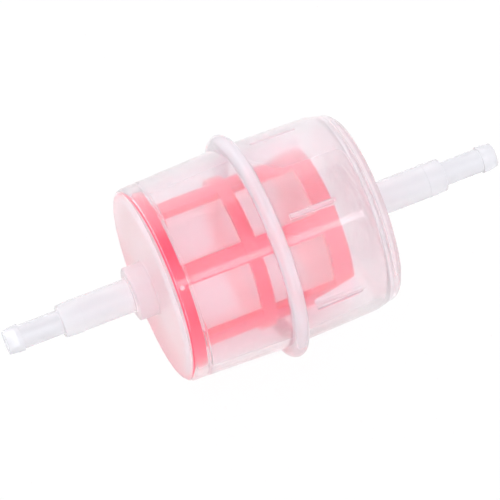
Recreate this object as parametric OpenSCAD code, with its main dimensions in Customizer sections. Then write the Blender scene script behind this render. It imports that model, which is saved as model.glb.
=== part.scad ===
// Inline fuel filter for small engines: two clear moulded half shells closed by a welded bead ring,
// with a strainer cage and its mesh sleeve inside. Millimetres.
// The flow axis is X: the inlet is at +X and the outlet at -X. +Z is up.
// The origin is the middle of the filter's length, on the flow axis.

/* [Overall] */
// Length from one hose nipple's tip to the other's
overall_length = 125.5; // [123:0.5:130]
// Distance of the shells' mating plane from the middle, towards the inlet
mating_x = 0.7; // [0:0.02:2]

/* [Shells] */
// Diameter of both shells at the weld ring
body_d = 49.9; // [49.6:0.1:51]
// Diameter of the outlet shell at its closed end
outlet_end_d = 48.2; // [48:0.1:49]
// Distance of the outlet shell's end face from the middle
outlet_end_x = 26.6; // [26.2:0.1:27.2]
// Radius of the rounded edge of the outlet shell's end face
outlet_edge_r = 2.4; // [1:0.1:3]
// Diameter of the inlet shell at the start of its shoulder
inlet_shoulder_d = 48.8; // [48:0.1:49.4]
// Distance of the inlet shell's shoulder from the middle
inlet_shoulder_x = 22.2; // [21:0.1:23]
// Diameter of the inlet shell's flat end face
inlet_end_d = 44.6; // [43:0.1:46]
// Distance of the inlet shell's end face from the middle
inlet_end_x = 27.95; // [27:0.05:29]
// Thickness of the shells' side walls
wall = 1.85; // [1.5:0.05:2.2]
// Thickness of the outlet shell's end wall
outlet_end_wall = 2; // [1.6:0.1:2.4]
// Thickness of the inlet shell's end wall
inlet_end_wall = 2.35; // [2:0.05:2.8]

/* [Hose nipples] */
// Diameter of the fuel port through each nipple
port_d = 4; // [3:0.1:4.6]
// Diameter of the boss at the root of each nipple
boss_d = 13.1; // [12:0.1:16]
// Distance of the boss's outer face from the middle
boss_face_x = 31.4; // [30.5:0.1:33]
// Shaft diameter of the step for the 8 mm hose
large_shaft_d = 8.2; // [8:0.05:8.3]
// Diameter of the lip that holds the 8 mm hose
large_lip_d = 8.35; // [8.3:0.05:8.5]
// Shaft diameter of the step for the 6 mm hose
small_shaft_d = 5.84; // [5.6:0.02:6]
// Diameter of the barb that holds the 6 mm hose
small_barb_d = 6.6; // [6.3:0.1:7]
// Length of the narrow step, from the tip to the wide step's face
small_step_length = 13.65; // [12:0.05:15]
// Length of the taper at the front of the wide step's lip
large_lip_taper = 2.6; // [1.5:0.1:3.5]
// Length of the rest of the lip, up to its back edge
large_lip_land = 2; // [1:0.1:3]

/* [Weld ring] */
// Height of the bead above the shells
bead_height = 2.97; // [2.6:0.01:3.4]
// Width of the bead along the flow axis
bead_width = 3.6; // [3.2:0.1:5]
// How far the shells' mating lips stand out of the shells
lip_height = 1.25; // [0.8:0.05:1.4]
// Thickness of each mating lip
lip_thickness = 1.2; // [0.8:0.1:1.5]

/* [Strainer cage] */
// Outer diameter of the cage's flange
flange_d = 44.1; // [43.5:0.1:44.1]
// Width of the flange's rim along the flow axis
flange_width = 2.78; // [2.2:0.02:3]
// Outer diameter of the cage across its bars
cage_d = 37.3; // [36:0.1:38]
// Inner diameter of the cage, where the mesh sleeve sits
cage_bore_d = 34; // [33:0.1:34.4]
// Number of bars
bar_count = 6; // [4:1:8]
// Width of each bar
bar_width = 4.9; // [3:0.1:6]
// Turn of the cage about the flow axis, from a bar on top
cage_turn = 28; // [0:0.1:60]
// Diameter of the hoop round the middle of the bars
hoop_d = 37.5; // [37.4:0.1:38.4]
// Width of the hoop
hoop_width = 3.25; // [2:0.05:5]
// Distance of the hoop's centre from the middle, towards the outlet
hoop_x = 4.33; // [3:0.01:8]
// Outer diameter of the closed end of the cage
cage_end_d = 36.7; // [35:0.1:37]
// Width of the band round the closed end
cage_end_width = 4.6; // [3:0.1:6]
// Distance of the closed end from the middle, towards the inlet
cage_end_x = 17.4; // [16:0.1:18]
// Thickness of the closed end's disc
cage_disc = 1.5; // [1:0.1:2]

/* [Mesh sleeve] */
// Thickness of the rolled screen
screen_thickness = 0.25; // [0.2:0.05:0.4]

/* [Centring fins] */
// Number of fins in the inlet shell
fin_count = 6; // [3:1:8]
// Thickness of each fin
fin_thickness = 1.1; // [0.8:0.1:1.6]
// Turn of the fins about the flow axis, from a fin on top
fin_turn = 18.0; // [0:0.1:60]
// Where the fins start, from the middle
fin_start_x = 6.0; // [5:0.1:9]
// Where the fins end, from the middle
fin_end_x = 17.4; // [16:0.1:20]
// Diameter between the fins' inner edges where they start
fin_start_d = 41.8; // [40:0.1:43]
// Diameter between the fins' inner edges where they end
fin_end_d = 37.6; // [37.5:0.1:39]

/* [Hidden] */
$fn = 96;

clear_tint = [0.93, 0.90, 0.95, 0.45];
cage_red = [0.95, 0.28, 0.36];
screen_pink = [0.97, 0.78, 0.81];

gap = 0.05;                                   // radial room between two pieces
seat_gap = 0.02;                              // axial room between two pieces
arc_steps = 8;

tip_x = overall_length / 2;
tip_chamfer = 0.35;
barb_taper = 2.55;
barb_land = 1.2;
step_face_x = tip_x - small_step_length;
lip_back_x = step_face_x - large_lip_taper - large_lip_land;
lip_rise = 0.04;                              // the lip's crest still rises towards its back edge
boss_edge = 0.4;

body_r = body_d / 2;
cavity_r = body_r - wall;
outlet_end_r = outlet_end_d / 2;
outlet_floor_x = outlet_end_x - outlet_end_wall;
seat_r = flange_d / 2 + gap;
seat_depth = flange_width + seat_gap * 2;
snap_height = 0.25;                           // small bead that the flange snaps past
snap_r = seat_r - snap_height;
snap_width = 0.65;
cavity_start_x = outlet_floor_x - seat_depth - snap_width;
witness_r = body_r - 0.75;                    // outer radius beside the witness line
witness_depth = 0.15;
witness_width = 0.35;

inlet_floor_x = inlet_end_x - inlet_end_wall;
inlet_corner = 3.1;                           // rounding of the cavity's corner at the inlet
rim_slope = 0.9;                              // softened rim between the shoulder and the end face
lip_r = body_r + lip_height;
ring_r = body_r + gap;
bead_r = bead_width / 2;
crest_r = body_r + bead_height - bead_r;      // where the bead's round crest starts

cage_bore_r = cage_bore_d / 2;
flange_x = -outlet_floor_x + seat_gap;        // outlet side of the flange
flange_end_x = flange_x + flange_width;
rim_wall = 1.65;
web = 1.4;                                    // flat part between the flange's rim and the bars
screen_stop = 0.5;                            // inner lip that the mesh sleeve rests on
screen_stop_width = 0.7;

// A quarter turn of points about c, from angle a0 to a1
function arc(c, r, a0, a1) =
    [for (i = [0 : arc_steps])
        let (a = a0 + (a1 - a0) * i / arc_steps)
        [c[0] + r * cos(a), c[1] + r * sin(a)]];

// Outline of a nipple and its boss as [radius, distance], from the port's inner edge to the end wall
function nipple_outline(wall_x) = concat(
    [[port_d / 2, tip_x - tip_chamfer],
     [port_d / 2 + tip_chamfer, tip_x],
     [small_shaft_d / 2 - tip_chamfer / 2, tip_x],
     [small_shaft_d / 2 + gap, tip_x - tip_chamfer],
     [small_barb_d / 2, tip_x - barb_taper],
     [small_barb_d / 2, tip_x - barb_taper - barb_land],
     [small_shaft_d / 2, tip_x - barb_taper - barb_land],
     [small_shaft_d / 2, step_face_x],
     [large_lip_d / 2 - boss_edge, step_face_x],
     [large_lip_d / 2 - boss_edge / 2, step_face_x - boss_edge / 2],
     [large_lip_d / 2 - lip_rise, step_face_x - large_lip_taper],
     [large_lip_d / 2, lip_back_x],
     [large_shaft_d / 2, lip_back_x],
     [large_shaft_d / 2, boss_face_x]],
    arc([boss_d / 2 - boss_edge, boss_face_x - boss_edge], boss_edge, 90, 0),
    [[boss_d / 2, wall_x]]);

// Turns a profile of [radius, distance] about the flow axis
module lathe(points) {
    rotate([90, 0, 90])
        rotate_extrude()
            polygon(points);
}

module ring(r_in, r_out, x0, x1) {
    lathe([[r_in, x0], [r_out, x0], [r_out, x1], [r_in, x1]]);
}

module outlet_shell() {
    corner = outlet_end_r - outlet_edge_r;
    color(clear_tint)
        mirror([1, 0, 0])
            lathe(concat(
                nipple_outline(outlet_end_x),
                arc([corner, outlet_end_x - outlet_edge_r], outlet_edge_r, 90, 0),
                [[outlet_end_r, cavity_start_x + witness_width],
                 [outlet_end_r - witness_depth, cavity_start_x + witness_width / 2],
                 [witness_r, cavity_start_x],
                 [body_r, bead_r - mating_x],
                 [body_r, lip_thickness - mating_x],
                 [lip_r, lip_thickness - mating_x],
                 [lip_r, -mating_x],
                 [cavity_r, -mating_x],
                 [witness_r - wall, cavity_start_x],
                 [snap_r, cavity_start_x],
                 [snap_r, cavity_start_x + snap_width],
                 [seat_r, cavity_start_x + snap_width],
                 [seat_r, outlet_floor_x],
                 [port_d / 2, outlet_floor_x]]));
}

module fin() {
    rotate([90, 0, 0])
        linear_extrude(fin_thickness, center = true)
            polygon([[fin_start_d / 2, fin_start_x],
                     [cavity_r + wall / 2, fin_start_x],
                     [inlet_shoulder_d / 2 - wall / 2, fin_end_x],
                     [fin_end_d / 2, fin_end_x]]);
}

module inlet_shell() {
    shoulder_r = inlet_shoulder_d / 2;
    end_r = inlet_end_d / 2;
    corner_r = shoulder_r - wall - inlet_corner;
    color(clear_tint) {
        lathe(concat(
            nipple_outline(inlet_end_x),
            [[end_r, inlet_end_x],
             [end_r + rim_slope, inlet_end_x - rim_slope],
             [shoulder_r, inlet_shoulder_x],
             [body_r, bead_r + mating_x],
             [body_r, lip_thickness + mating_x],
             [lip_r, lip_thickness + mating_x],
             [lip_r, mating_x],
             [cavity_r, mating_x]],
            arc([corner_r, inlet_floor_x - inlet_corner], inlet_corner, 0, 90),
            [[port_d / 2, inlet_floor_x]]));
        for (i = [0 : fin_count - 1])
            rotate([90, 0, 90])
                rotate([0, 0, 90 + fin_turn + i * 360 / fin_count])
                    fin();
    }
}

module weld_ring() {
    slot = lip_thickness + seat_gap;
    color(clear_tint)
        lathe(concat(
            arc([crest_r, mating_x], bead_r, 90, 0),
            arc([crest_r, mating_x], bead_r, 0, -90),
            [[ring_r, mating_x - bead_r],
             [ring_r, mating_x - slot],
             [lip_r + gap, mating_x - slot],
             [lip_r + gap, mating_x + slot],
             [ring_r, mating_x + slot],
             [ring_r, mating_x + bead_r]]));
}

module bar() {
    length = cage_end_x - cage_end_width / 2 - (flange_end_x - web / 2);
    rotate([0, 0, 90 + cage_turn])
        translate([cage_d / 4, -bar_width / 2, flange_end_x - web / 2])
            cube([cage_d / 2, bar_width, length]);
}

module bars() {
    intersection() {
        ring(cage_bore_r, cage_d / 2, flange_x, cage_end_x);
        for (i = [0 : bar_count - 1])
            rotate([i * 360 / bar_count, 0, 0])
                rotate([90, 0, 90])
                    bar();
    }
}

module strainer_cage() {
    flange_r = flange_d / 2;
    web_x = flange_end_x - web;
    color(cage_red) {
        lathe([[cage_bore_r - screen_stop, web_x],
               [flange_r - rim_wall, web_x],
               [flange_r - rim_wall, flange_x],
               [flange_r, flange_x],
               [flange_r, flange_end_x],
               [cage_bore_r, flange_end_x],
               [cage_bore_r, web_x + screen_stop_width],
               [cage_bore_r - screen_stop, web_x + screen_stop_width]]);
        bars();
        ring(cage_bore_r, hoop_d / 2, -hoop_x - hoop_width / 2, -hoop_x + hoop_width / 2);
        lathe([[0, cage_end_x - cage_disc],
               [cage_bore_r, cage_end_x - cage_disc],
               [cage_bore_r, cage_end_x - cage_end_width],
               [cage_end_d / 2, cage_end_x - cage_end_width],
               [cage_end_d / 2, cage_end_x],
               [0, cage_end_x]]);
    }
}

module mesh_sleeve() {
    screen_r = cage_bore_r - gap;
    start_x = flange_end_x - web + screen_stop_width + seat_gap;
    color(screen_pink)
        ring(screen_r - screen_thickness, screen_r, start_x, cage_end_x - cage_disc - seat_gap);
}

outlet_shell();
inlet_shell();
weld_ring();
strainer_cage();
mesh_sleeve();
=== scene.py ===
"""Looks of the inline fuel filter: clear shells, weld bead, red strainer cage and woven screen.

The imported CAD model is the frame. Every piece here stands for one CAD node, in its place and at its size.
The flow axis is X, with the outlet at -X. Outlines are in millimetres, and objects in metres.
"""

import math
from collections import namedtuple

import bmesh
import bpy
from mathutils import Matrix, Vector


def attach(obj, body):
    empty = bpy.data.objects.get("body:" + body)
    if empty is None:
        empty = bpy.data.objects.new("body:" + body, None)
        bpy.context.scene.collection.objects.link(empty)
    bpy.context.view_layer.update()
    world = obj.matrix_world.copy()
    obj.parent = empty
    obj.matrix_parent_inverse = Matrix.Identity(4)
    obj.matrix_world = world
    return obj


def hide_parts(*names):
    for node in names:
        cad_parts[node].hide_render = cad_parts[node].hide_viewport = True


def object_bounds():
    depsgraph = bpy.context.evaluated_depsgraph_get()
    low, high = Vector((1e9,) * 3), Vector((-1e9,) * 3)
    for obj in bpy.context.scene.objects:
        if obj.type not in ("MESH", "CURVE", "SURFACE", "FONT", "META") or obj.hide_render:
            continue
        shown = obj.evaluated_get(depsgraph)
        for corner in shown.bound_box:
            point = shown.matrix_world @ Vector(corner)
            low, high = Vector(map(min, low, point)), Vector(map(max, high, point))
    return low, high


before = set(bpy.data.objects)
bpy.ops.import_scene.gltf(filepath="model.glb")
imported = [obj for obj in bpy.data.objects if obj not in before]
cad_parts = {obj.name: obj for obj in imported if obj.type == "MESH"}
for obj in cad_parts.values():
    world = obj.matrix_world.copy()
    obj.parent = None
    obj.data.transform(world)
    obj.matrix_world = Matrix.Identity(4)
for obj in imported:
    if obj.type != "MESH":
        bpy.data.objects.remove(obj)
CAD_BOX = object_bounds()

MM = 0.001

# ---------------------------------------------------------------- sizes, in millimetres

TIP = CAD_BOX[1].x / MM
RING_R = CAD_BOX[1].z / MM
FLOOR_Z = CAD_BOX[0].z / MM

# the two shells where they meet, and the weld bead
MATING_X = 0.7
MATING_GAP = 0.01
BODY_R = 24.95
CAVITY_R = 23.1
LIP_R = 26.2
LIP = 1.2
WELD = 0.03
BEAD = 1.8

# the hose nipples
PORT_R = 2.0
SMALL_SHAFT_R = 2.92
SMALL_BARB_R = 3.3
BARB_CREST = TIP - 2.55
BARB_BACK = TIP - 3.75
LARGE_SHAFT_R = 4.1
LARGE_LIP_R = 4.175
STEP_FACE = TIP - 13.65
LIP_CREST = STEP_FACE - 2.6
LIP_BACK = STEP_FACE - 4.6
BOSS_FACE = 31.4
BOSS_R = 6.55

# the outlet shell: its end, its witness line, and the seat and snap bead that hold the cage's flange
OUTLET_END = 26.6
OUTLET_FLOOR = 24.6
OUTLET_END_R = 24.1
OUTLET_EDGE = 2.4
WITNESS = 21.13
WITNESS_HALF = 0.17
SEAT_R = 22.1
SNAP_R = 21.85
SNAP_FRONT = WITNESS - 0.22
SNAP_BACK = WITNESS + 0.43
# a small milkier, paler spot on the outlet shell's side
PALE_SPOT_X = -23.5
PALE_SPOT_TURN = 123.5

# the inlet shell
INLET_END = 27.95
INLET_FLOOR = 25.6
INLET_END_R = 22.3
SHOULDER = 22.2
SHOULDER_R = 24.4
WALL = 1.85

# the centring fins in the inlet shell
FINS = 6
FIN_TURN = 18.0
FIN_START = 6.0
FIN_END = 17.4
FIN_START_R = 20.9
FIN_END_R = 18.8
FIN_THICK = 1.1
FIN_TOP_THICK = FIN_THICK * 0.92

# the strainer cage
FLANGE_R = 22.05
FLANGE_BORE_R = FLANGE_R - 1.65
FLANGE_X = (-24.58, -21.8)
WEB_X = -23.2
WEB_THICK = 0.7
CAGE_R = 18.65
CAGE_BORE_R = 17.0
WEB_BORE_R = CAGE_BORE_R - 0.5
BARS = 6
BAR_WIDTH = 4.9
CAGE_TURN = 28.0
HOOP_R = 18.75
HOOP_X = (-5.955, -2.705)
CAGE_END_R = 18.35
CAGE_END_X = (12.8, 17.4)
CAGE_DISC = 1.5
FIRST_WINDOWS = (FLANGE_X[1], HOOP_X[0])
SECOND_WINDOWS = (HOOP_X[1], CAGE_END_X[0])

# the woven screen
SCREEN_R = 16.95
SCREEN_THICK = 0.25
SCREEN_GAP = 0.02
SCREEN_PITCH = 0.3
THREADS_ROUND = round(math.tau * SCREEN_R / SCREEN_PITCH)

# how finely the pieces are divided, and their edges treated
SHELL_COLUMNS = 360
SCREEN_COLUMNS = 180
COLUMNS_BETWEEN_FINS = 58
COLUMNS_ACROSS_BAR = 3
COLUMNS_BETWEEN_BARS = 15
BEAD_STEPS = 32
FILLET_STEPS = 5
LONGEST_FILLET = 0.48
HUB = 1e-6
CREASE_ANGLE = 32
BEVEL_ANGLE = 40

# where the plastic's look changes: two spans of radius, and one along X
THROUGH_WALL = (23.3, 24.0)
FIN_TO_WALL = (21.6, 21.95)
TO_INLET_HALF = (0.0, 9.0)

# ---------------------------------------------------------------- mesh helpers


def soften(corners):
    """Rounds each corner (x, r, fillet) of a closed outline with an arc, and returns plain (x, r) points.

    No fillet takes up more than LONGEST_FILLET of either edge beside it.
    """
    points = []
    count = len(corners)
    for i, (x, r, fillet) in enumerate(corners):
        here = Vector((x, r))
        before = Vector(corners[i - 1][:2]) - here
        after = Vector(corners[(i + 1) % count][:2]) - here
        if fillet <= 0:
            points.append((x, r))
            continue
        half = before.angle(after) / 2
        room = LONGEST_FILLET * min(before.length, after.length)
        reach = min(fillet / math.tan(half), room)
        start = here + before.normalized() * reach
        end = here + after.normalized() * reach
        bulge = (before.normalized() + after.normalized()).normalized()
        centre = here + bulge * (reach / math.cos(half))
        for k in range(FILLET_STEPS + 1):
            arm = (start - centre).lerp(end - centre, k / FILLET_STEPS).normalized()
            points.append(tuple(centre + arm * (start - centre).length))
    return points


def arch(x, r, radius, steps):
    """Points on the half circle about (x, r) on its outer side, from -X to +X."""
    angles = [math.radians(180 - 180 * k / steps) for k in range(steps + 1)]
    return [(x + radius * math.cos(a), r + radius * math.sin(a)) for a in angles]


def round_the_axis(x, r, angle):
    """The place, in metres, of a point at angle about the flow axis, counted from +Y towards +Z."""
    return Vector((x, r * math.cos(angle), r * math.sin(angle))) * MM


def even_columns(count):
    """Equally spaced angles round the axis."""
    return [2 * math.pi * k / count for k in range(count)]


def turned(mesh, outline, columns, place=round_the_axis):
    """Turns a closed outline about the flow axis into mesh, and returns its vertices as rows of columns.

    place gives a vertex its position. A row nearer the axis than HUB is one vertex.
    """
    rows = []
    for x, r in outline:
        if r < HUB:
            rows.append([mesh.verts.new((x * MM, 0, 0))] * len(columns))
        else:
            rows.append([mesh.verts.new(place(x, r, column)) for column in columns])
    return rows


def skin(mesh, rows, skip=lambda i, j: False):
    """Closes the rows of a closed outline with faces, leaving out those that skip names."""
    for i, row in enumerate(rows):
        below = rows[(i + 1) % len(rows)]
        for j in range(len(row)):
            if skip(i, j):
                continue
            k = (j + 1) % len(row)
            corners = []
            for v in (row[j], row[k], below[k], below[j]):
                if v not in corners:
                    corners.append(v)
            if len(corners) > 2:
                mesh.faces.new(corners)


def piece(name, mesh, node, material):
    """Turns a bmesh into an object that stands for a CAD node, with that material."""
    bmesh.ops.recalc_face_normals(mesh, faces=mesh.faces)
    data = bpy.data.meshes.new(name)
    mesh.to_mesh(data)
    mesh.free()
    data.shade_smooth()
    data.set_sharp_from_angle(angle=math.radians(CREASE_ANGLE))
    data.materials.append(material)
    obj = bpy.data.objects.new(name, data)
    bpy.context.scene.collection.objects.link(obj)
    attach(obj, "root")
    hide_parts(node)
    return obj


def bevel(obj, width, segments=2):
    """Rounds the sharp edges of obj."""
    mod = obj.modifiers.new("rounded edges", "BEVEL")
    mod.width = width * MM
    mod.segments = segments
    mod.limit_method = "ANGLE"
    mod.angle_limit = math.radians(BEVEL_ANGLE)
    mod.harden_normals = True


# ---------------------------------------------------------------- materials


def new_material(name):
    """A material with one Principled shader."""
    material = bpy.data.materials.new(name)
    material.use_nodes = True
    nodes = material.node_tree.nodes
    nodes.clear()
    out = nodes.new("ShaderNodeOutputMaterial")
    shader = nodes.new("ShaderNodeBsdfPrincipled")
    material.node_tree.links.new(shader.outputs[0], out.inputs["Surface"])
    return material, shader


def add_node(material, kind, **settings):
    """A new node. A setting is either a property of the node or the value of one of its sockets."""
    made = material.node_tree.nodes.new(kind)
    for key, value in settings.items():
        if hasattr(made, key):
            setattr(made, key, value)
        else:
            made.inputs[key].default_value = value
    return made


def wire(material, source, target):
    """Links an output to a socket."""
    material.node_tree.links.new(source, target)


def surface_ripple(material, shader, scale, strength, distance):
    """A slow unevenness of the moulded surface, as a bump."""
    place = add_node(material, "ShaderNodeTexCoord")
    noise = add_node(material, "ShaderNodeTexNoise", Scale=scale, Detail=2.0)
    bump = add_node(material, "ShaderNodeBump", Strength=strength, Distance=distance)
    wire(material, place.outputs["Object"], noise.inputs["Vector"])
    wire(material, noise.outputs[0], bump.inputs["Height"])
    wire(material, bump.outputs[0], shader.inputs["Normal"])


def mapped(material, source, low, high, at_low, at_high):
    """A value that goes from at_low to at_high while source goes from low to high, and no further."""
    scale = add_node(material, "ShaderNodeMapRange")
    for key, value in (("From Min", low), ("From Max", high), ("To Min", at_low), ("To Max", at_high)):
        scale.inputs[key].default_value = value
    wire(material, source, scale.inputs["Value"])
    return scale.outputs[0]


def in_millimetres(material, place, span, at_low, at_high):
    """A value that goes from at_low to at_high while place goes over a span given in millimetres."""
    low, high = span
    return mapped(material, place, low * MM, high * MM, at_low, at_high)


def combined(material, operation, first, second, clamp=False):
    """Two numbers put together by a maths node's operation."""
    made = add_node(material, "ShaderNodeMath", operation=operation, use_clamp=clamp)
    wire(material, first, made.inputs[0])
    wire(material, second, made.inputs[1])
    return made.outputs[0]


def product(material, first, second):
    """Two numbers multiplied."""
    return combined(material, "MULTIPLY", first, second)


def number_blend(material, factor, first, second):
    """A mix of two numbers."""
    mix = add_node(material, "ShaderNodeMix", data_type="FLOAT")
    wire(material, factor, mix.inputs[0])
    wire(material, first, mix.inputs[2])
    wire(material, second, mix.inputs[3])
    return mix.outputs[0]


def blend(material, factor, first, second):
    """A mix of two colours. Each is a plain colour or a node's output."""
    mix = add_node(material, "ShaderNodeMix", data_type="RGBA")
    wire(material, factor, mix.inputs[0])
    for socket, colour in ((mix.inputs[6], first), (mix.inputs[7], second)):
        if isinstance(colour, tuple):
            socket.default_value = (*colour, 1)
        else:
            wire(material, colour, socket)
    return mix.outputs[2]


Place = namedtuple("Place", "point x y z along radius")


def place_nodes(material):
    """A point's place: x, y and z, how far along from the middle, and how far from the flow axis."""
    point = add_node(material, "ShaderNodeTexCoord").outputs["Object"]
    split = add_node(material, "ShaderNodeSeparateXYZ")
    wire(material, point, split.inputs[0])
    x, y, z = split.outputs["X"], split.outputs["Y"], split.outputs["Z"]
    across = add_node(material, "ShaderNodeCombineXYZ")
    wire(material, y, across.inputs["Y"])
    wire(material, z, across.inputs["Z"])
    radius = add_node(material, "ShaderNodeVectorMath", operation="LENGTH")
    wire(material, across.outputs[0], radius.inputs[0])
    along = add_node(material, "ShaderNodeMath", operation="ABSOLUTE")
    wire(material, x, along.inputs[0])
    return Place(point, x, y, z, along.outputs[0], radius.outputs["Value"])


def plastic_roughness(material, place):
    """Glossy outside and duller inside, with satin on the outlet's end face and on both nipples."""
    dull = in_millimetres(material, place.x, TO_INLET_HALF, 0.15, 0.22)
    inside = in_millimetres(material, place.radius, THROUGH_WALL, 1.0, 0.0)
    outlet_face = in_millimetres(material, place.x, (-25.0, -25.8), 0.03, 0.3)
    past_boss = in_millimetres(material, place.along, (BOSS_FACE + 0.1, BOSS_FACE + 0.3), 1.0, 0.4)
    nipple_satin = in_millimetres(material, place.along, (OUTLET_END + 0.1, OUTLET_END + 0.4), 0.03, 0.12)
    satin = combined(material, "MAXIMUM", product(material, outlet_face, past_boss), nipple_satin)
    return combined(material, "MAXIMUM", product(material, dull, inside), satin)


def wall_clearness(material, place):
    """How clear the side walls are: milkier on their inner faces, in the fins, at the inlet and on top."""
    fin = in_millimetres(material, place.radius, FIN_TO_WALL, 0.5, 1.0)
    inner_face = in_millimetres(material, place.x, TO_INLET_HALF, 0.87, 0.8)
    beside_flange = in_millimetres(material, place.x, (-21.5, -20.5), 0.12, 0.0)
    outer_face = in_millimetres(material, place.radius, THROUGH_WALL, 0.0, 0.12)
    inner_face = combined(material, "ADD", inner_face, beside_flange)
    wall = combined(material, "ADD", inner_face, outer_face, clamp=True)
    far_side = in_millimetres(material, place.y, (-4.0, 16.0), 0.0, 0.15)
    upper_side = in_millimetres(material, place.z, (0.0, 8.0), 0.0, 1.0)
    milky_top = product(material, far_side, upper_side)
    return combined(material, "SUBTRACT", product(material, fin, wall), milky_top)


def plastic_clearness(material, place, clearness):
    """How clear the plastic is all over. The end walls' rims, the nipples and a small spot on the outlet
    shell are milkier.
    """
    floor_rim = in_millimetres(material, place.radius, (19.0, 20.0), 0.9, 0.45)
    on_floor = in_millimetres(material, place.along, (OUTLET_FLOOR - 0.05, OUTLET_FLOOR - 0.02), 0.0, 1.0)
    on_rim = in_millimetres(material, place.radius, (22.0, 22.08), 1.0, 0.0)
    on_floor_rim = product(material, on_floor, on_rim)
    inside = number_blend(material, on_floor_rim, wall_clearness(material, place), floor_rim)
    upper_face = in_millimetres(material, place.z, (-14.0, 10.0), 0.97, 0.76)
    face_rim = in_millimetres(material, place.radius, (21.7, 22.3), 1.0, 0.9)
    on_face = in_millimetres(material, place.along, (25.5, 26.0), 0.0, 1.0)
    shell = number_blend(material, on_face, inside, product(material, upper_face, face_rim))
    root = (OUTLET_END, BOSS_FACE)
    towards_nipple = in_millimetres(material, place.along, root, clearness, clearness * 0.74)
    # a small spot on the outlet shell's side is made milkier, so it looks paler
    spot_distance = add_node(material, "ShaderNodeVectorMath", operation="DISTANCE")
    wire(material, place.point, spot_distance.inputs[0])
    spot_distance.inputs[1].default_value = round_the_axis(PALE_SPOT_X, OUTLET_END_R, math.radians(PALE_SPOT_TURN))
    pale_spot = in_millimetres(material, spot_distance.outputs["Value"], (0.3, 0.9), 0.65, 1.0)
    return product(material, product(material, shell, towards_nipple), pale_spot)


def tint_and_painted_cage_light(material, place):
    """The plastic's faint tint, with painted red light from the cage: pinker underneath beside it and on the
    bosses.
    """
    inlet_side = in_millimetres(material, place.x, (2.0, 12.0), 0.0, 1.0)
    in_fin = in_millimetres(material, place.radius, FIN_TO_WALL, 1.0, 0.0)
    in_ring = in_millimetres(material, place.radius, (BODY_R + 0.02, BODY_R + 0.15), 0.0, 1.0)
    painted_glow_beside_cage = in_millimetres(material, place.x, (2.0, 22.0), 1.0, 0.0)
    painted_glow_underneath = in_millimetres(material, place.z, (-2.0, -20.0), 0.0, 1.0)
    painted_glow_on_boss = in_millimetres(material, place.along, (OUTLET_END, OUTLET_END + 0.2), 0.0, 1.0)
    on_nipple = in_millimetres(material, place.along, (BOSS_FACE - 0.2, BOSS_FACE), 0.0, 1.0)
    tint = blend(material, inlet_side, (0.94, 0.94, 0.96), (0.96, 0.962, 0.975))
    tint = blend(material, in_fin, tint, (1.0, 0.97, 0.99))
    tint = blend(material, in_ring, tint, (0.95, 0.935, 0.957))
    # painted light: pink underneath beside the cage, standing in for red light that passes through the cage
    tint = blend(material, product(material, painted_glow_beside_cage, painted_glow_underneath), tint, (0.97, 0.66, 0.72))
    # painted light: the bosses pinker, standing in for red light from the cage
    tint = blend(material, painted_glow_on_boss, tint, (0.82, 0.765, 0.79))
    return blend(material, on_nipple, tint, (0.855, 0.86, 0.875))


def clear_plastic(name, cloud, clearness):
    """Clear moulded plastic. cloud is the density of its volume. clearness is its surface's, at most 1."""
    material, shader = new_material(name)
    place = place_nodes(material)
    wire(material, plastic_roughness(material, place), shader.inputs["Roughness"])
    wire(material, plastic_clearness(material, place, clearness), shader.inputs["Transmission Weight"])
    wire(material, tint_and_painted_cage_light(material, place), shader.inputs["Base Color"])
    shader.inputs["IOR"].default_value = 1.49
    milk = add_node(material, "ShaderNodeVolumeScatter", Color=(1, 0.985, 0.995, 1), Density=cloud)
    wire(material, milk.outputs[0], material.node_tree.nodes["Material Output"].inputs["Volume"])
    return material, shader


def clear_ring_plastic():
    """The bead's plastic is cloudier than the shells', and finely rippled."""
    material, shader = clear_plastic("clear_ring_plastic", cloud=150.0, clearness=0.7)
    surface_ripple(material, shader, scale=1200, strength=0.4, distance=0.1 * MM)
    return material


def red_nylon():
    """Translucent red moulded nylon, with a soft ripple."""
    material, shader = new_material("red_nylon")
    shader.inputs["Base Color"].default_value = (0.999, 0.035, 0.125, 1)
    shader.inputs["Roughness"].default_value = 0.3
    shader.inputs["IOR"].default_value = 1.53
    shader.inputs["Subsurface Weight"].default_value = 1.0
    shader.inputs["Subsurface Radius"].default_value = (1.0, 0.2, 0.25)
    shader.inputs["Subsurface Scale"].default_value = 3 * MM
    surface_ripple(material, shader, scale=400, strength=0.2, distance=0.1 * MM)
    return material


def woven_screen():
    """A fine weave: threads along the sleeve and threads round it, a little proud and paler."""
    material, shader = new_material("woven_screen")
    place = place_nodes(material)
    turn = combined(material, "ARCTAN2", place.z, place.y)
    waves = []
    for source, frequency in ((turn, THREADS_ROUND), (place.x, math.tau / (SCREEN_PITCH * MM))):
        phase = add_node(material, "ShaderNodeMath", operation="MULTIPLY")
        phase.inputs[1].default_value = frequency
        wire(material, source, phase.inputs[0])
        wave = add_node(material, "ShaderNodeMath", operation="SINE")
        wire(material, phase.outputs[0], wave.inputs[0])
        waves.append(wave.outputs[0])
    thread = mapped(material, combined(material, "MAXIMUM", *waves), 0.0, 1.0, 0.0, 1.0)
    colour = blend(material, thread, (1.0, 0.93, 0.95), (1.0, 0.96, 0.972))
    wire(material, colour, shader.inputs["Base Color"])
    bump = add_node(material, "ShaderNodeBump", Strength=0.25, Distance=0.03 * MM)
    wire(material, thread, bump.inputs["Height"])
    wire(material, bump.outputs[0], shader.inputs["Normal"])
    shader.inputs["Roughness"].default_value = 0.35
    shader.inputs["IOR"].default_value = 1.1
    shader.inputs["Transmission Weight"].default_value = 0.7
    shader.inputs["Alpha"].default_value = 0.6
    return material


# ---------------------------------------------------------------- pieces


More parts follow.
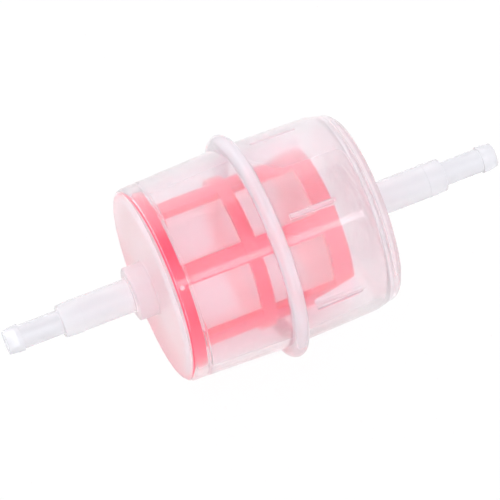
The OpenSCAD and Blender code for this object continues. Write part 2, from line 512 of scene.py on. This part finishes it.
def nipple(side):
    """Corners of a stepped hose nipple and its boss, from the port to the end wall, on that side."""
    corners = [
        (TIP, PORT_R, 0.3),
        (TIP, SMALL_SHAFT_R - 0.05, 0.25),
        (BARB_CREST, SMALL_BARB_R, 0.6),
        (BARB_BACK, SMALL_BARB_R, 0.12),
        (BARB_BACK, SMALL_SHAFT_R, 0.1),
        (STEP_FACE, SMALL_SHAFT_R, 0.3),
        (STEP_FACE, LARGE_LIP_R - 0.2, 0.25),
        (LIP_CREST, LARGE_LIP_R - 0.04, 1.0),
        (LIP_BACK, LARGE_LIP_R, 0.05),
        (LIP_BACK, LARGE_SHAFT_R, 0.04),
        (BOSS_FACE, LARGE_SHAFT_R, 0.5),
        (BOSS_FACE, BOSS_R, 0.45),
    ]
    return [(side * x, r, fillet) for x, r, fillet in corners]


def outlet_outline():
    """The outlet shell's outline, from its nipple over the outside and back through the cavity."""
    return soften(
        nipple(-1)
        + [
            (-OUTLET_END, BOSS_R, 0.5),
            (-OUTLET_END, OUTLET_END_R, OUTLET_EDGE),
            (-WITNESS - WITNESS_HALF, OUTLET_END_R, 0.1),
            (-WITNESS, OUTLET_END_R - 0.14, 0.05),
            (-WITNESS + WITNESS_HALF, OUTLET_END_R + 0.1, 0.1),
            (MATING_X - BEAD, BODY_R, 2.0),
            (MATING_X - LIP, BODY_R, 0.15),
            (MATING_X - LIP, LIP_R, 0.2),
            (MATING_X - MATING_GAP, LIP_R, 0.05),
            (MATING_X - MATING_GAP, CAVITY_R, 0.05),
            (-SNAP_FRONT, SEAT_R + 0.25, 0.15),
            (-SNAP_FRONT, SNAP_R, 0.2),
            (-SNAP_BACK, SNAP_R, 0.2),
            (-SNAP_BACK, SEAT_R, 0.1),
            (-OUTLET_FLOOR, SEAT_R, 0.4),
            (-OUTLET_FLOOR, PORT_R, 0.6),
        ]
    )


def outlet_shell(material):
    """The outlet shell, turned as one closed outline."""
    mesh = bmesh.new()
    skin(mesh, turned(mesh, outlet_outline(), even_columns(SHELL_COLUMNS)))
    piece("clear_outlet_shell", mesh, "outlet_shell", material)


def fin_columns():
    """Columns round the inlet shell, one on each side of every fin, and the index where each fin starts."""
    half = math.asin(FIN_THICK / 2 / CAVITY_R)
    turn = 2 * math.pi / FINS
    step = (turn - 2 * half) / COLUMNS_BETWEEN_FINS
    columns = []
    starts = []
    for k in range(FINS):
        middle = math.radians(90 + FIN_TURN) + turn * k
        starts.append(len(columns))
        columns.append(middle - half)
        columns += [middle + half + step * i for i in range(COLUMNS_BETWEEN_FINS)]
    return columns, starts


def inlet_outline():
    """The inlet shell's outline, and the rows where its fins end and start."""
    outline = soften(
        [
            (MATING_X + MATING_GAP, CAVITY_R, 0),
            (MATING_X + MATING_GAP, LIP_R, 0.05),
            (MATING_X + LIP, LIP_R, 0.2),
            (MATING_X + LIP, BODY_R, 0.15),
            (MATING_X + BEAD, BODY_R, 2.0),
            (SHOULDER, SHOULDER_R, 4.0),
            (INLET_END - 1.0, INLET_END_R + 0.95, 1.5),
            (INLET_END, INLET_END_R, 0.5),
            (INLET_END, BOSS_R, 0.5),
        ]
        + nipple(1)[::-1]
        + [
            (INLET_FLOOR, PORT_R, 0.6),
            (INLET_FLOOR, SHOULDER_R - WALL, 3.1),
            (FIN_END, fin_root(FIN_END), 0),
            (FIN_START, fin_root(FIN_START), 0),
        ]
    )
    return outline, len(outline) - 2, len(outline) - 1


def fin_root(x):
    """Radius of the inlet shell's inner wall at x."""
    share = (x - MATING_X) / (SHOULDER - MATING_X)
    return CAVITY_R + (SHOULDER_R - WALL - CAVITY_R) * share


def inlet_shell(material):
    """The inlet shell is turned with a strip left open under each fin, where the fin is built."""
    mesh = bmesh.new()
    outline, end_row, start_row = inlet_outline()
    columns, starts = fin_columns()
    rows = turned(mesh, outline, columns)
    skin(mesh, rows, skip=lambda i, j: i == end_row and j in starts)
    edges = {end_row: (FIN_END, FIN_END_R), start_row: (FIN_START, FIN_START_R)}
    for j in starts:
        middle = (columns[j] + columns[j + 1]) / 2
        tops = {}
        for row, (x, r) in edges.items():
            for side in (0, 1):
                lean = math.asin(FIN_TOP_THICK / 2 / r) * (2 * side - 1)
                tops[row, side] = mesh.verts.new(round_the_axis(x, r, middle + lean))
        root = {(row, side): rows[row][j + side] for row in edges for side in (0, 1)}
        for row in edges:
            mesh.faces.new((root[row, 0], root[row, 1], tops[row, 1], tops[row, 0]))
        for side in (0, 1):
            mesh.faces.new(
                (root[end_row, side], root[start_row, side], tops[start_row, side], tops[end_row, side])
            )
        mesh.faces.new((tops[end_row, 0], tops[end_row, 1], tops[start_row, 1], tops[start_row, 0]))
    bevel(piece("clear_inlet_shell", mesh, "inlet_shell", material), 0.12)


def weld_ring(material):
    """The bead, with the slot in which it grips the lips of both shells."""
    slot = LIP - WELD
    foot = BODY_R - WELD
    bead = arch(MATING_X, RING_R - BEAD, BEAD, BEAD_STEPS)
    inside = soften(
        [
            (MATING_X + BEAD, foot, 0),
            (MATING_X + slot, foot, 0.1),
            (MATING_X + slot, LIP_R - WELD, 0.2),
            (MATING_X - slot, LIP_R - WELD, 0.2),
            (MATING_X - slot, foot, 0.1),
            (MATING_X - BEAD, foot, 0),
        ]
    )
    mesh = bmesh.new()
    skin(mesh, turned(mesh, bead + inside, even_columns(SHELL_COLUMNS)))
    piece("clear_weld_ring", mesh, "weld_ring", material)


def cage_columns():
    """Columns round the cage as (angle, share).

    On a bar the angle is the bar's middle, and share goes from -1 to 1 across it. Elsewhere share is None.
    """
    columns = []
    half = math.asin(BAR_WIDTH / 2 / CAGE_R)
    turn = 2 * math.pi / BARS
    gap = turn - 2 * half
    for k in range(BARS):
        middle = math.radians(90 + CAGE_TURN) + turn * k
        for i in range(COLUMNS_ACROSS_BAR + 1):
            columns.append((middle, 2 * i / COLUMNS_ACROSS_BAR - 1))
        for i in range(1, COLUMNS_BETWEEN_BARS):
            columns.append((middle + half + gap * i / COLUMNS_BETWEEN_BARS, None))
    return columns


def cage_point(x, r, column):
    """A point on the cage. The columns on a bar stay parallel, so that its flanks are flat."""
    middle, share = column
    if share is None:
        return round_the_axis(x, r, middle)
    return round_the_axis(x, r, middle + math.asin(share * BAR_WIDTH / 2 / r))


def cage_outline():
    """The cage's outline as (x, r) points, from the flange over the outside and back through the bore."""
    floor_x = CAGE_END_X[1] - CAGE_DISC
    return [
        (FLANGE_X[0], FLANGE_R),
        (FLANGE_X[1], FLANGE_R),
        (FIRST_WINDOWS[0], CAGE_R),
        (FIRST_WINDOWS[1], CAGE_R),
        (HOOP_X[0], HOOP_R),
        (HOOP_X[1], HOOP_R),
        (SECOND_WINDOWS[0], CAGE_R),
        (SECOND_WINDOWS[1], CAGE_R),
        (CAGE_END_X[0], CAGE_END_R),
        (CAGE_END_X[1], CAGE_END_R),
        (CAGE_END_X[1], 0),
        (floor_x, 0),
        (floor_x, CAGE_BORE_R),
        (SECOND_WINDOWS[1], CAGE_BORE_R),
        (SECOND_WINDOWS[0], CAGE_BORE_R),
        (FIRST_WINDOWS[1], CAGE_BORE_R),
        (FIRST_WINDOWS[0], CAGE_BORE_R),
        (WEB_X + WEB_THICK, CAGE_BORE_R),
        (WEB_X + WEB_THICK, WEB_BORE_R),
        (WEB_X, WEB_BORE_R),
        (WEB_X, FLANGE_BORE_R),
        (FLANGE_X[0], FLANGE_BORE_R),
    ]


def strainer_cage(material):
    """The cage is turned as one outline, with its windows left open and then lined with faces.

    Rows are named from outside: near and edge start and end a window, and far is where its end wall starts.
    """
    outline = cage_outline()
    columns = cage_columns()
    mesh = bmesh.new()
    rows = turned(mesh, outline, columns, cage_point)
    in_window = [share is None or share == 1 for _, share in columns]
    outside = [outline.index((start, CAGE_R)) for start, _ in (FIRST_WINDOWS, SECOND_WINDOWS)]
    inside = [outline.index((end, CAGE_BORE_R)) for _, end in (FIRST_WINDOWS, SECOND_WINDOWS)]
    end_step = outside[-1] + 1
    open_rows = {*outside, *inside, end_step}
    skin(mesh, rows, skip=lambda i, j: i in open_rows and in_window[j])
    for out_row, in_row in zip(outside, inside):
        near = rows[out_row]
        edge = rows[out_row + 1]
        # the second windows' far side is flush with the step up to the cage's end, and takes it in
        far = rows[end_step + 1] if out_row + 1 == end_step else edge
        deep_far = rows[in_row]
        deep_near = rows[in_row + 1]
        for j in range(len(columns)):
            k = (j + 1) % len(columns)
            if in_window[j]:
                mesh.faces.new((near[j], near[k], deep_near[k], deep_near[j]))
                mesh.faces.new((far[j], far[k], deep_far[k], deep_far[j]))
            if in_window[j] != in_window[j - 1]:
                flank = [near[j], edge[j], far[j], deep_far[j], deep_near[j]]
                mesh.faces.new(list(dict.fromkeys(flank)))
    bevel(piece("red_strainer_cage", mesh, "strainer_cage", material), 0.2, segments=3)


def mesh_sleeve(material):
    """The screen is a plain thin tube. Its weave is in its material."""
    inner = SCREEN_R - SCREEN_THICK
    start = WEB_X + WEB_THICK + SCREEN_GAP
    end = CAGE_END_X[1] - CAGE_DISC - SCREEN_GAP
    mesh = bmesh.new()
    outline = [(start, SCREEN_R), (end, SCREEN_R), (end, inner), (start, inner)]
    skin(mesh, turned(mesh, outline, even_columns(SCREEN_COLUMNS)))
    piece("woven_mesh_sleeve", mesh, "mesh_sleeve", material)


# ---------------------------------------------------------------- studio


FLOOR_RADIUS = 3.0
FLOOR_GLOW = 0.96
FLOOR_GREY = 0.04
LIGHT_STRENGTH = 0.75
LIGHT_TINT = (0.98, 0.965, 1.0)

# brightness round the flow axis, by angle in degrees from +Y towards +Z
BANDS = [
    (0, 1.5),
    (60.5, 1.5),
    (62.5, 0.25),
    (88, 0.3),
    (105, 0.95),
    (120, 1.3),
    (123, 6.2),
    (128, 6.2),
    (129, 1.5),
    (156, 1.5),
    (157, 0.95),
    (180, 1.0),
]

# brightness along X, from -1 to 1, and how far it takes the place of the bands
SIDES = [
    (-1, 1.3, 1),
    (-0.5, 1.3, 1),
    (-0.28, 1.2, 1),
    (-0.26, 9.5, 1),
    (-0.15, 9.5, 1),
    (-0.11, 0.8, 1),
    (0.03, 0.6, 0),
    (0.3, 1.2, 0),
    (0.42, 1.2, 1),
    (1, 1.3, 1),
]


def white_floor():
    """A plain pale table, lit from within like a light table."""
    material = bpy.data.materials.new("pale_floor")
    material.use_nodes = True
    material.node_tree.nodes.clear()
    out = add_node(material, "ShaderNodeOutputMaterial")
    glow = add_node(material, "ShaderNodeEmission", Color=(1, 1, 1, 1), Strength=FLOOR_GLOW)
    matt = add_node(material, "ShaderNodeBsdfDiffuse", Color=(FLOOR_GREY, FLOOR_GREY, FLOOR_GREY, 1))
    both = add_node(material, "ShaderNodeAddShader")
    wire(material, glow.outputs[0], both.inputs[0])
    wire(material, matt.outputs[0], both.inputs[1])
    wire(material, both.outputs[0], out.inputs["Surface"])
    mesh = bmesh.new()
    bmesh.ops.create_circle(mesh, cap_ends=True, segments=64, radius=FLOOR_RADIUS)
    data = bpy.data.meshes.new("floor")
    mesh.to_mesh(data)
    mesh.free()
    data.materials.append(material)
    floor = bpy.data.objects.new("floor", data)
    floor.location.z = FLOOR_Z * MM
    bpy.context.scene.collection.objects.link(floor)


def fill_ramp(ramp, stops):
    """Sets a colour ramp to those (position, level, alpha) stops."""
    while len(ramp.elements) < len(stops):
        ramp.elements.new(1.0)
    for element, (position, level, alpha) in zip(ramp.elements, stops):
        element.position = position
        element.color = (*(level * tint for tint in LIGHT_TINT), alpha)


def studio_world():
    """A pale studio with long softboxes parallel to the filter, and one that arches over its outlet side."""
    world = bpy.data.worlds.new("studio")
    world.use_nodes = True
    world.node_tree.nodes.clear()
    bpy.context.scene.world = world
    out = add_node(world, "ShaderNodeOutputWorld")
    back = add_node(world, "ShaderNodeBackground", Strength=LIGHT_STRENGTH)
    place = add_node(world, "ShaderNodeTexCoord")
    split = add_node(world, "ShaderNodeSeparateXYZ")
    wire(world, place.outputs["Generated"], split.inputs[0])

    angle = combined(world, "ARCTAN2", split.outputs["Z"], split.outputs["Y"])
    bands = add_node(world, "ShaderNodeValToRGB")
    wire(world, mapped(world, angle, 0.0, math.pi, 0.0, 1.0), bands.inputs[0])
    fill_ramp(bands.color_ramp, [(degrees / 180, level, 1) for degrees, level in BANDS])

    sides = add_node(world, "ShaderNodeValToRGB")
    wire(world, mapped(world, split.outputs["X"], -1.0, 1.0, 0.0, 1.0), sides.inputs[0])
    fill_ramp(sides.color_ramp, [((x + 1) / 2, level, share) for x, level, share in SIDES])

    both = blend(world, sides.outputs["Alpha"], bands.outputs["Color"], sides.outputs["Color"])
    wire(world, both, back.inputs["Color"])
    wire(world, back.outputs[0], out.inputs["Surface"])


def make_camera():
    """Looks down on the filter from in front and a little from its outlet end, with a long lens."""
    azimuth = math.radians(-23.8)
    elevation = math.radians(61.15)
    distance = 695.9 * MM
    aside = -0.8575 * MM
    above = -0.6475 * MM
    flat = math.cos(elevation)
    back = Vector((math.sin(azimuth) * flat, -math.cos(azimuth) * flat, math.sin(elevation)))
    right = Vector((math.cos(azimuth), math.sin(azimuth), 0))
    up = back.cross(right)
    data = bpy.data.cameras.new("camera")
    data.lens = 212.6
    data.clip_start = 0.05
    data.clip_end = 20
    camera = bpy.data.objects.new("camera", data)
    camera.rotation_mode = "QUATERNION"
    camera.rotation_quaternion = (-back).to_track_quat("-Z", "Y")
    camera.location = back * distance + right * aside + up * above
    bpy.context.scene.collection.objects.link(camera)
    bpy.context.scene.camera = camera


def set_light_paths():
    """Enough bounces for light to cross every clear wall, and no blurring of what shines through them."""
    scene = bpy.context.scene
    scene.view_settings.view_transform = "Standard"
    for kind in ("max", "transmission", "glossy", "diffuse", "volume"):
        setattr(scene.cycles, kind + "_bounces", 96)
    scene.cycles.transparent_max_bounces = 32
    scene.cycles.blur_glossy = 0


make_camera()
white_floor()
studio_world()
set_light_paths()

shell_plastic, _ = clear_plastic("clear_shell_plastic", cloud=55.0, clearness=1.0)
outlet_shell(shell_plastic)
inlet_shell(shell_plastic)
weld_ring(clear_ring_plastic())
strainer_cage(red_nylon())
mesh_sleeve(woven_screen())
